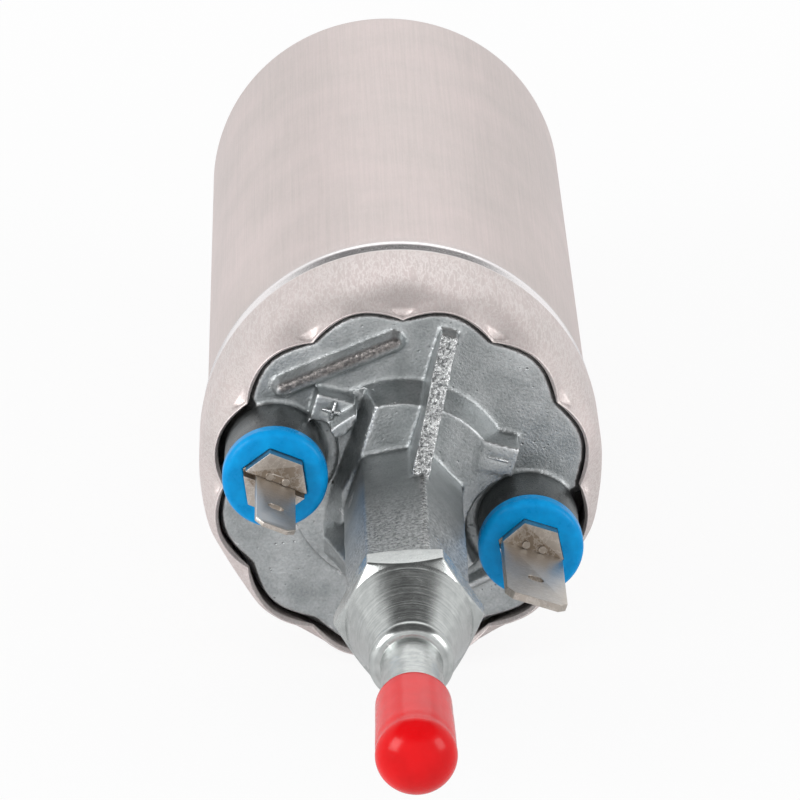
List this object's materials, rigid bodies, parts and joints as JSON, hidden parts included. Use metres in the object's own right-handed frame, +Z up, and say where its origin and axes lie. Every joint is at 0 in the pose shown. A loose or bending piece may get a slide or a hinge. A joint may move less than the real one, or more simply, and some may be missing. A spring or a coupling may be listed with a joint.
{
  "type": "inline electric fuel pump",
  "caption": "Long inline electric fuel pump: aluminium can with crimped cast end cover, blade terminals on blue insulators, hexagonal outlet check valve under a red cap.",
  "frame": {"origin": "on the pump axis, in the middle of the straight stretch of can that a clamp holds", "axes": "+Y along the pump axis towards the inlet, -Y towards the outlet and its terminals, +Z up as in the picture, +X to the right seen from the outlet"},
  "size_m": [0.0622, 0.26, 0.0622],
  "materials": {
    "can_aluminium": "drawn, brushed",
    "zinc_casting": "die-cast zinc, satin",
    "plated_steel": "zinc plated, turned",
    "nickel_plate": "nickel plated",
    "blue_plastic": "semi-gloss",
    "red_vinyl": "glossy soft vinyl",
    "black_rubber": "matt",
    "machined_steel": "ground",
    "spring_steel": "bright wire",
    "brass": "plain",
    "bronze_bush": "sintered",
    "copper": "plain",
    "carbon": "matt graphite",
    "phenolic": "moulded",
    "ferrite": "sintered",
    "plate_aluminium": "machined",
    "filter_nylon": "moulded"
  },
  "bodies": {
    "housing": {"can_shell": "can_aluminium", "end_cover": "zinc_casting", "outlet_fitting": "plated_steel", "inlet_nipple": "plated_steel", "terminal_stud_plus": "nickel_plate", "terminal_stud_minus": "nickel_plate", "blade_plus": "nickel_plate", "blade_minus": "nickel_plate", "stud_nuts": "nickel_plate", "insulator_plus": "blue_plastic", "insulator_minus": "blue_plastic", "cover_seal": "black_rubber", "terminal_seals": "black_rubber", "fitting_seal": "black_rubber", "inlet_seal": "black_rubber", "pump_ring": "machined_steel", "pump_screws": "machined_steel", "flux_ring": "machined_steel", "valve_spring": "spring_steel", "relief_spring": "spring_steel", "brush_spring_plus": "spring_steel", "brush_spring_minus": "spring_steel", "magnet_clips": "spring_steel", "valve_seat": "brass", "brush_tube_plus": "brass", "brush_tube_minus": "brass", "relief_plug": "brass", "front_bush": "bronze_bush", "rear_bush": "bronze_bush", "lead_strap_plus": "copper", "lead_strap_minus": "copper", "brush_holder": "phenolic", "inner_washers": "phenolic", "magnet_upper": "ferrite", "magnet_lower": "ferrite", "port_plate": "plate_aluminium", "inlet_plate": "plate_aluminium", "inlet_strainer": "filter_nylon"},
    "armature": {"armature_shaft": "machined_steel", "lamination_stack": "machined_steel", "armature_windings": "copper", "commutator_hub": "phenolic", "commutator_bars": "copper", "thrust_washer": "phenolic", "inner_rotor": "machined_steel"},
    "outer_rotor": {"outer_rotor": "machined_steel"},
    "valve_poppet": {"valve_poppet": "brass", "poppet_seal": "black_rubber"},
    "relief_ball": {"relief_ball": "machined_steel"},
    "brush_plus": {"brush_plus": "carbon"},
    "brush_minus": {"brush_minus": "carbon"},
    "outlet_cap": {"outlet_cap": "red_vinyl"}
  },
  "joints": [
    {"name": "armature_spin", "type": "hinge", "parent": "housing", "child": "armature", "pos_m": [0, 0, 0], "axis": [0, 1, 0], "continuous": true},
    {"name": "outer_rotor_spin", "type": "hinge", "parent": "housing", "child": "outer_rotor", "pos_m": [-0.0016, 0.033, 0], "axis": [0, 1, 0], "continuous": true},
    {"name": "poppet_lift", "type": "slide", "parent": "housing", "child": "valve_poppet", "axis": [0, -1, 0], "range_m": [0, 0.0025], "stiffness_N_per_m": 300, "springref_m": -0.003, "deforming": ["valve_spring"]},
    {"name": "relief_lift", "type": "slide", "parent": "housing", "child": "relief_ball", "axis": [0, 1, 0], "range_m": [0, 0.0012], "stiffness_N_per_m": 1000, "springref_m": -0.004, "deforming": ["relief_spring"]},
    {"name": "brush_plus_slide", "type": "slide", "parent": "housing", "child": "brush_plus", "axis": [-0.9588, 0, 0.284], "range_m": [0, 0.0018], "stiffness_N_per_m": 300, "springref_m": -0.003, "deforming": ["brush_spring_plus"]},
    {"name": "brush_minus_slide", "type": "slide", "parent": "housing", "child": "brush_minus", "axis": [0.9588, 0, -0.284], "range_m": [0, 0.0018], "stiffness_N_per_m": 300, "springref_m": -0.003, "deforming": ["brush_spring_minus"]},
    {"name": "cap_pull", "type": "slide", "parent": "housing", "child": "outlet_cap", "axis": [0, -1, 0], "range_m": [0, 0.06]}
  ],
  "couplings": [
    {"joint": "outer_rotor_spin", "follows": "armature_spin", "ratio": 0.85714}
  ]
}
